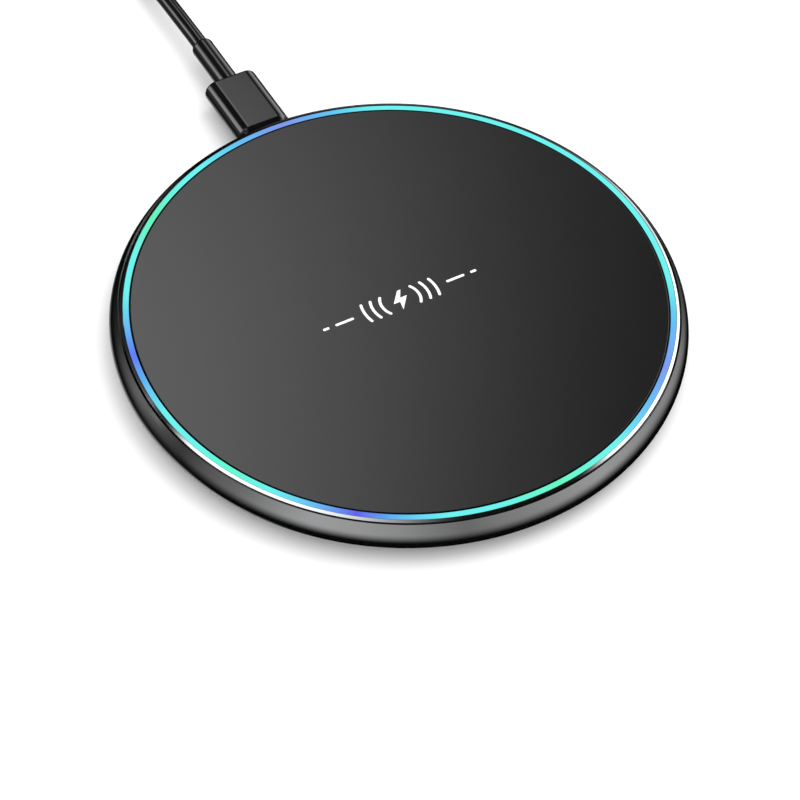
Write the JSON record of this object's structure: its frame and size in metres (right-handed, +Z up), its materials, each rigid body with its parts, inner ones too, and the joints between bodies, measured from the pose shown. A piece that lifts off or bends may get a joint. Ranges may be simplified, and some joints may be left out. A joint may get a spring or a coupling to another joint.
{
  "type": "wireless charging pad",
  "caption": "Thin round wireless charging pad with a dark satin top, a lit ring round its rim, a flared metal wall, rubber feet and a plugged-in cable.",
  "frame": {"origin": "centre of the pad on the surface that its rubber feet stand on", "axes": "+Z up through the charging surface, +Y to the back where the cable plugs in, +X to the reader's right"},
  "size_m": [0.1082, 0.1924, 0.0106],
  "materials": {
    "frame_metal": "anodised gunmetal wall, satin, with a mirror-polished top chamfer",
    "light_ring": "clear plastic lit from inside, cyan with green and blue stretches",
    "top_coating": "satin dark grey, fine soft-touch texture",
    "mark_print": "white screen print, matte",
    "adhesive": "double-sided tape",
    "cover_plastic": "black moulded plastic, fine spark texture",
    "foot_rubber": "black matte rubber",
    "screw_steel": "zinc-plated steel",
    "board_laminate": "green solder mask on glass-fibre laminate",
    "ferrite": "dark sintered ferrite",
    "coil_copper": "enamelled stranded copper wire",
    "foam": "closed-cell foam",
    "connector_steel": "nickel-plated steel",
    "black_insulator": "black moulded insulator",
    "chip_epoxy": "black epoxy package",
    "capacitor_ceramic": "tan ceramic with tinned ends",
    "led_package": "white package with a clear window",
    "plug_gloss": "gloss black moulding",
    "cable_jacket": "semi-gloss black jacket",
    "tie_rubber": "matte black strap"
  },
  "bodies": {
    "pad": {"frame_ring": "frame_metal", "light_guide": "light_ring", "top_plate": "top_coating", "plate_adhesive": "adhesive", "ferrite_tape": "adhesive", "bottom_cover": "cover_plastic", "foot_1": "foot_rubber", "foot_2": "foot_rubber", "foot_3": "foot_rubber", "foot_4": "foot_rubber", "screw_1": "screw_steel", "screw_2": "screw_steel", "screw_3": "screw_steel", "screw_4": "screw_steel", "main_board": "board_laminate", "ferrite_shield": "ferrite", "power_inductor": "ferrite", "coil_winding": "coil_copper", "coil_foam_pad": "foam", "usb_socket_shell": "connector_steel", "crystal": "connector_steel", "usb_socket_tongue": "black_insulator", "controller_chip": "chip_epoxy", "half_bridge_left": "chip_epoxy", "half_bridge_right": "chip_epoxy", "thermistor": "chip_epoxy", "input_capacitor": "capacitor_ceramic", "resonant_capacitor_1": "capacitor_ceramic", "resonant_capacitor_2": "capacitor_ceramic", "resonant_capacitor_3": "capacitor_ceramic", "resonant_capacitor_4": "capacitor_ceramic", "led_1": "led_package", "led_2": "led_package", "led_3": "led_package", "led_4": "led_package", "led_5": "led_package", "led_6": "led_package", "led_7": "led_package", "led_8": "led_package"},
    "cable": {"usb_c_plug_shell": "connector_steel", "usb_c_plug_insulator": "black_insulator", "usb_c_overmold": "plug_gloss", "usb_c_strain_relief": "cable_jacket", "cord_run": "cable_jacket", "cord_coil": "cable_jacket", "cord_tail": "cable_jacket", "coil_tie": "tie_rubber", "usb_a_strain_relief": "cable_jacket", "usb_a_overmold": "plug_gloss", "usb_a_shell": "connector_steel", "usb_a_tongue": "black_insulator"}
  },
  "joints": [
    {"name": "plug_slide", "type": "slide", "parent": "pad", "child": "cable", "axis": [0, 1, 0], "range_m": [0, 0.012]}
  ]
}
